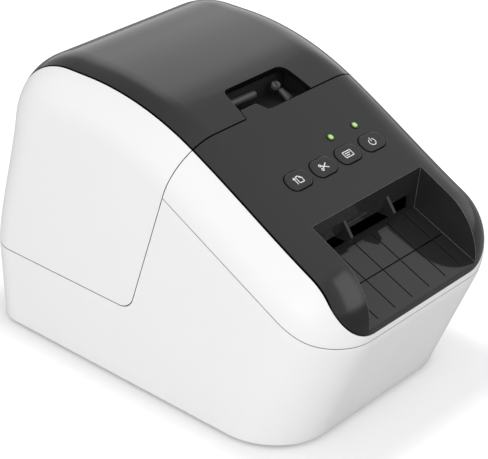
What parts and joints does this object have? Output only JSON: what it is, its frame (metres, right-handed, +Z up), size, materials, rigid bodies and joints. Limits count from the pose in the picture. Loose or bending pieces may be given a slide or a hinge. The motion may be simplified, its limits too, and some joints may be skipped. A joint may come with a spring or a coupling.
{
  "type": "thermal label printer",
  "caption": "Desktop thermal label printer with a hinged roll cover, sloping control panel with push buttons, and a recessed label tray below the cutter slot.",
  "frame": {"origin": "on the ground below the middle of the case", "axes": "+X to the right of a person facing the front, -Y toward the front with the label outlet, +Z up"},
  "size_m": [0.1254, 0.211, 0.143],
  "materials": {
    "white_plastic": "white moulded ABS with a soft gloss",
    "panel_plastic": "dark grey moulded ABS, fine satin grain",
    "lid_plastic": "dark grey moulded ABS, glossy",
    "button_plastic": "dark grey satin caps with white marks",
    "light_lens": "clear green light pipe",
    "lamp_plastic": "small lamp body",
    "board_laminate": "green circuit laminate",
    "component_plastic": "black component bodies",
    "steel": "bright steel",
    "plated_steel": "zinc plated sheet",
    "blade_steel": "ground blade steel",
    "motor_metal": "drawn motor can",
    "platen_rubber": "black platen rubber",
    "foot_rubber": "black foot rubber",
    "gear_plastic": "natural acetal",
    "pinion_brass": "cut brass",
    "sink_aluminium": "extruded aluminium",
    "strip_ceramic": "glazed heating strip",
    "inner_plastic": "black structural plastic",
    "socket_plastic": "black socket moulding"
  },
  "bodies": {
    "base": {"board_screws": "steel", "button_board": "board_laminate", "chassis": "plated_steel", "chassis_screws": "steel", "control_panel": "panel_plastic", "cutter_bracket": "plated_steel", "cutter_guides": "inner_plastic", "cutter_motor": "motor_metal", "data_socket": "plated_steel", "feed_motor": "motor_metal", "fixed_blade": "blade_steel", "front_shell": "white_plastic", "head_pivot": "steel", "head_springs": "steel", "hinge_pins": "steel", "idler_stud": "steel", "inlet_pins": "steel", "label_guide": "inner_plastic", "label_sensor": "component_plastic", "light_pipes": "light_lens", "lower_case": "white_plastic", "main_board": "board_laminate", "main_board_parts": "component_plastic", "mains_inlet": "socket_plastic", "platen_bushes": "gear_plastic", "power_board": "board_laminate", "power_board_parts": "component_plastic", "push_switches": "component_plastic", "roll_bin": "inner_plastic", "rubber_feet": "foot_rubber", "socket_tongue": "socket_plastic", "spool_holder_left": "inner_plastic", "spool_holder_right": "inner_plastic", "spring_bridge": "plated_steel", "status_lamps": "lamp_plastic"},
    "cover": {"roll_cover_lid": "lid_plastic", "cover_side_left": "white_plastic", "cover_side_right": "white_plastic"},
    "feed_key": {"feed_button": "button_plastic"},
    "cut_key": {"cut_button": "button_plastic"},
    "function_key": {"function_button": "button_plastic"},
    "power_key": {"power_button": "button_plastic"},
    "platen": {"platen_shaft": "steel", "platen_sleeve": "platen_rubber", "platen_gear": "gear_plastic"},
    "idler": {"idler_gear": "gear_plastic"},
    "feed_drive": {"motor_pinion": "pinion_brass"},
    "head": {"heating_strip": "strip_ceramic", "heat_sink": "sink_aluminium", "head_bracket": "plated_steel"},
    "cutter_carriage": {"moving_blade": "blade_steel", "blade_carrier": "inner_plastic"},
    "cutter_drive": {"cutter_pinion": "pinion_brass"}
  },
  "joints": [
    {"name": "cover_hinge", "type": "hinge", "parent": "base", "child": "cover", "pos_m": [0, 0.1015, 0.0446], "axis": [-1, 0, 0], "range_deg": [0, 75]},
    {"name": "feed_press", "type": "slide", "parent": "base", "child": "feed_key", "axis": [0, 0.454, -0.891], "range_m": [0, 0.0007], "stiffness_N_per_m": 600, "springref_m": -0.0005},
    {"name": "cut_press", "type": "slide", "parent": "base", "child": "cut_key", "axis": [0, 0.454, -0.891], "range_m": [0, 0.0007], "stiffness_N_per_m": 600, "springref_m": -0.0005},
    {"name": "function_press", "type": "slide", "parent": "base", "child": "function_key", "axis": [0, 0.454, -0.891], "range_m": [0, 0.0007], "stiffness_N_per_m": 600, "springref_m": -0.0005},
    {"name": "power_press", "type": "slide", "parent": "base", "child": "power_key", "axis": [0, 0.454, -0.891], "range_m": [0, 0.0007], "stiffness_N_per_m": 600, "springref_m": -0.0005},
    {"name": "platen_spin", "type": "hinge", "parent": "base", "child": "platen", "pos_m": [0, -0.048, 0.081], "axis": [1, 0, 0], "continuous": true},
    {"name": "idler_spin", "type": "hinge", "parent": "base", "child": "idler", "pos_m": [0, -0.035, 0.06375], "axis": [1, 0, 0], "continuous": true},
    {"name": "feed_motor_spin", "type": "hinge", "parent": "base", "child": "feed_drive", "pos_m": [0, -0.02312, 0.05187], "axis": [1, 0, 0], "continuous": true},
    {"name": "head_lift", "type": "hinge", "parent": "base", "child": "head", "pos_m": [0, -0.017, 0.097], "axis": [-1, 0, 0], "range_deg": [0, 3], "stiffness_Nm_per_rad": 2, "springref_deg": -5.73, "deforming": ["head_springs"]},
    {"name": "blade_slide", "type": "slide", "parent": "base", "child": "cutter_carriage", "axis": [0, 0, 1], "range_m": [0, 0.008]},
    {"name": "cutter_motor_spin", "type": "hinge", "parent": "base", "child": "cutter_drive", "pos_m": [0, -0.0538, 0.056], "axis": [-1, 0, 0], "range_deg": [0, 95.6]}
  ],
  "couplings": [
    {"joint": "idler_spin", "follows": "platen_spin", "ratio": -0.8},
    {"joint": "feed_motor_spin", "follows": "platen_spin", "ratio": 2},
    {"joint": "cutter_motor_spin", "follows": "blade_slide", "rad_per_m": 208.33}
  ]
}
